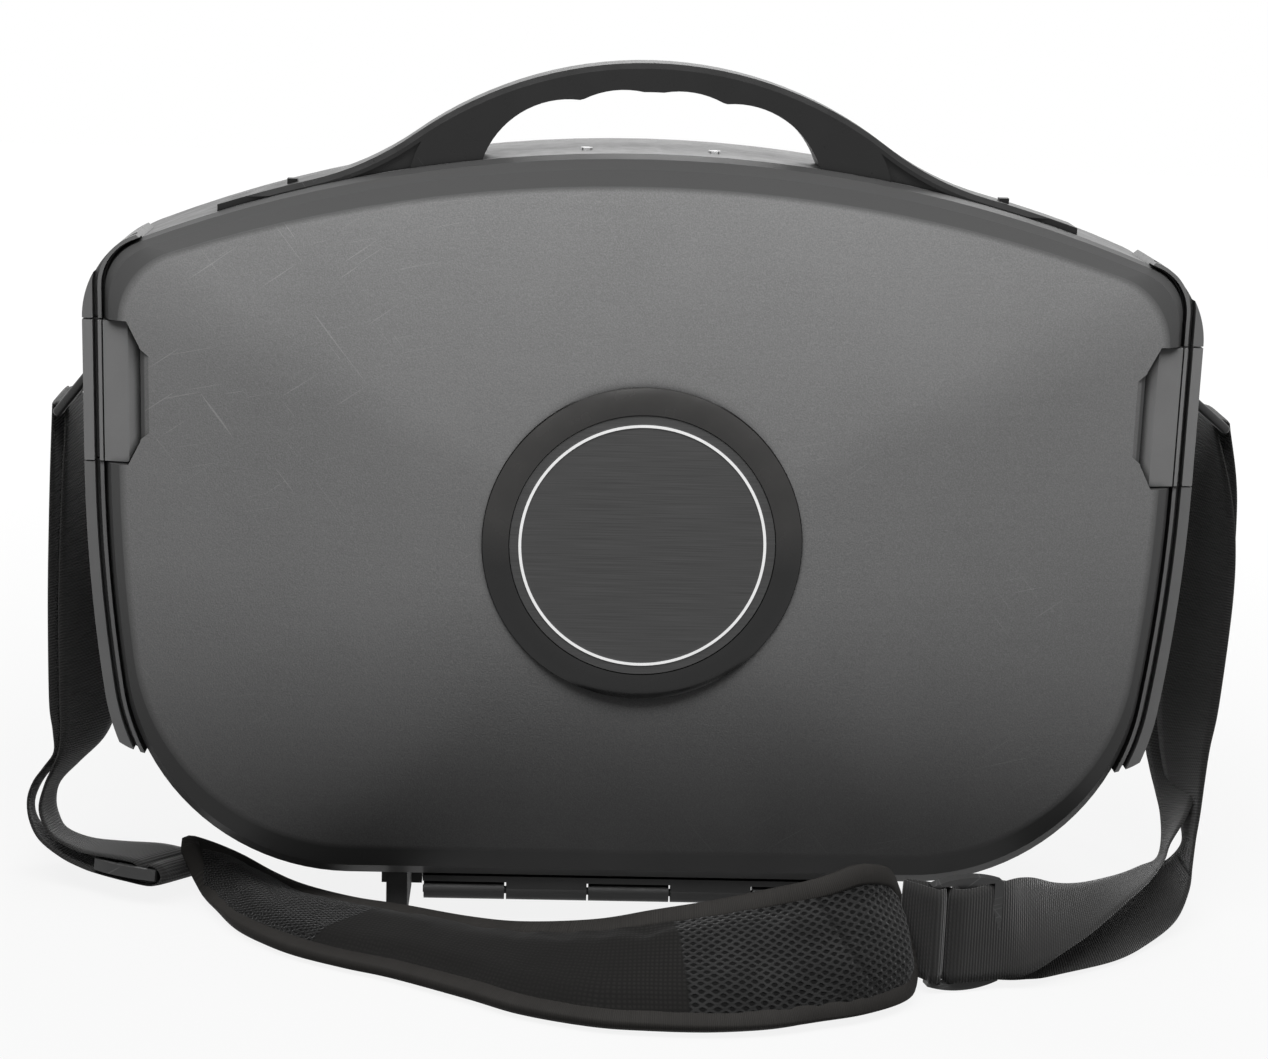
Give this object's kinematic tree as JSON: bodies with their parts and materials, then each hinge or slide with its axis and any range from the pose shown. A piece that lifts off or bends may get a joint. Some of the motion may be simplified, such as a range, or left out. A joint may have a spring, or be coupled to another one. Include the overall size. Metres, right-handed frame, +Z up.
{
  "type": "portable gaming monitor case",
  "caption": "Hard carrying case with a hinged lid that holds a display, a bay for a games console, side latches, a finger-grip handle and a padded shoulder strap.",
  "frame": {"origin": "on the floor, under the middle of the case without its shoulder strap", "axes": "+X to the viewer's right when looking at the lid, +Y from the lid to the back, +Z up"},
  "size_m": [0.6423, 0.2586, 0.45],
  "materials": {
    "shell": "fine moulded texture",
    "rail": "satin",
    "handle": "satin",
    "foot": "satin",
    "emblem_gloss": "gloss",
    "emblem_satin": "satin",
    "chrome": "polished",
    "bezel": "satin",
    "screen": "semi-gloss",
    "board": "matt",
    "button": "satin",
    "grille": "matt",
    "speaker": "matt",
    "socket": "satin",
    "hinge": "blackened",
    "screw": "bright",
    "ring": "satin",
    "bracket": "satin",
    "seal": "matt",
    "mat": "matt foam",
    "hold_strap": "woven",
    "webbing": "ribbed woven",
    "slider": "satin",
    "pad": "padded, air mesh and smooth weave"
  },
  "bodies": {
    "base": {"base_shell": "shell", "bay_mat": "mat", "console_strap_left": "hold_strap", "console_strap_right": "hold_strap", "foot_front_left": "foot", "foot_front_right": "foot", "foot_rear_left": "foot", "foot_rear_right": "foot", "handle": "handle", "handle_screw_left": "screw", "handle_screw_right": "screw", "hinge_base_leaf": "hinge", "hinge_pin": "hinge", "latch_pin_left": "hinge", "latch_pin_right": "hinge", "lower_rail_left": "rail", "lower_rail_right": "rail", "rim_seal": "seal", "ring_bracket_left": "bracket", "ring_bracket_right": "bracket", "shoulder_pad": "pad", "strap_slider_left": "slider", "strap_slider_right": "slider", "strap_webbing_left": "webbing", "strap_webbing_right": "webbing", "upper_rail_left": "rail", "upper_rail_right": "rail"},
    "lid": {"lid_shell": "shell", "emblem_ring": "emblem_gloss", "emblem_disc": "emblem_satin", "emblem_trim": "chrome", "screen_bezel": "bezel", "lcd_panel": "screen", "driver_board": "board", "speaker_left": "speaker", "speaker_right": "speaker", "speaker_grille_left": "grille", "speaker_grille_right": "grille", "headphone_jack_left": "socket", "headphone_jack_right": "socket", "video_socket": "socket", "dc_socket": "socket", "hinge_lid_leaf": "hinge"},
    "latch_left": {"latch_left": "rail"},
    "latch_right": {"latch_right": "rail"},
    "strap_ring_left": {"strap_ring_left": "ring"},
    "strap_ring_right": {"strap_ring_right": "ring"},
    "button_power": {"button_power": "button"},
    "button_menu": {"button_menu": "button"},
    "button_volume_down": {"button_volume_down": "button"},
    "button_volume_up": {"button_volume_up": "button"}
  },
  "joints": [
    {"name": "lid_hinge", "type": "hinge", "parent": "base", "child": "lid", "pos_m": [0, -0.044, 0.019], "axis": [1, 0, 0], "range_deg": [0, 90], "deforming": ["strap_webbing_left", "strap_webbing_right", "strap_slider_left", "strap_slider_right", "shoulder_pad"]},
    {"name": "latch_right_swing", "type": "hinge", "parent": "base", "child": "latch_right", "pos_m": [0.2755, -0.012, 0.282], "axis": [0, 0, 1], "range_deg": [0, 75]},
    {"name": "strap_ring_right_swing", "type": "hinge", "parent": "base", "child": "strap_ring_right", "pos_m": [0.2765, 0.028, 0.292], "axis": [0, 1, 0], "range_deg": [-90, 50]},
    {"name": "latch_left_swing", "type": "hinge", "parent": "base", "child": "latch_left", "pos_m": [-0.2755, -0.012, 0.282], "axis": [0, 0, -1], "range_deg": [0, 75]},
    {"name": "strap_ring_left_swing", "type": "hinge", "parent": "base", "child": "strap_ring_left", "pos_m": [-0.2765, 0.028, 0.292], "axis": [0, -1, 0], "range_deg": [-90, 38]},
    {"name": "button_power_press", "type": "slide", "parent": "lid", "child": "button_power", "axis": [0, -1, 0], "range_m": [0, 0.0012], "stiffness_N_per_m": 600},
    {"name": "button_menu_press", "type": "slide", "parent": "lid", "child": "button_menu", "axis": [0, -1, 0], "range_m": [0, 0.0012], "stiffness_N_per_m": 600},
    {"name": "button_volume_down_press", "type": "slide", "parent": "lid", "child": "button_volume_down", "axis": [0, -1, 0], "range_m": [0, 0.0012], "stiffness_N_per_m": 600},
    {"name": "button_volume_up_press", "type": "slide", "parent": "lid", "child": "button_volume_up", "axis": [0, -1, 0], "range_m": [0, 0.0012], "stiffness_N_per_m": 600}
  ]
}
